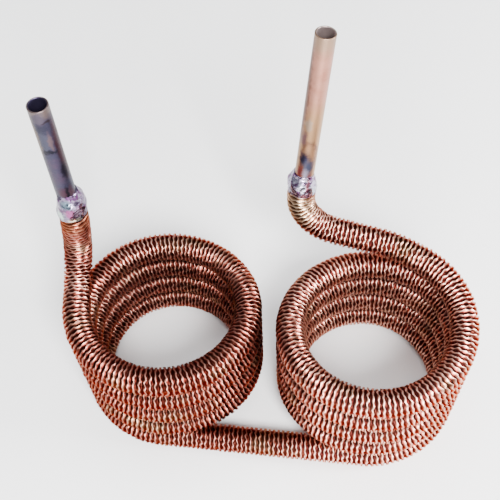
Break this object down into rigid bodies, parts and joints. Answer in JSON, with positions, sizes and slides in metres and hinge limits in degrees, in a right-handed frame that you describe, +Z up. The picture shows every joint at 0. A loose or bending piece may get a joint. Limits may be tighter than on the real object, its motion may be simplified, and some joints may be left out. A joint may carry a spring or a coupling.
{
  "type": "finned tube coil",
  "caption": "Heat exchanger tube of spiral-finned copper, wound into upright side-by-side coils joined by a straight run at the bottom front, with plain brazed tails rising at its ends.",
  "frame": {"origin": "on the floor, under the middle of the whole object's box", "axes": "+X from the left coil to the right coil, +Y from the cross run at the front to the back, +Z up"},
  "size_m": [0.21, 0.1304, 0.1912],
  "materials": {
    "finned_copper": "bright copper fins with darker red-brown valleys, slightly tarnished",
    "tinted_copper": "satin copper, heat-tinted slate blue and violet",
    "plain_copper": "satin pinkish tan copper, heat-tinted near the braze",
    "braze_silver": "lumpy bright silver braze"
  },
  "bodies": {
    "root": {"finned_tube": "finned_copper", "left_tail": "tinted_copper", "right_tail": "plain_copper", "left_braze": "braze_silver", "right_braze": "braze_silver"}
  },
  "joints": []
}
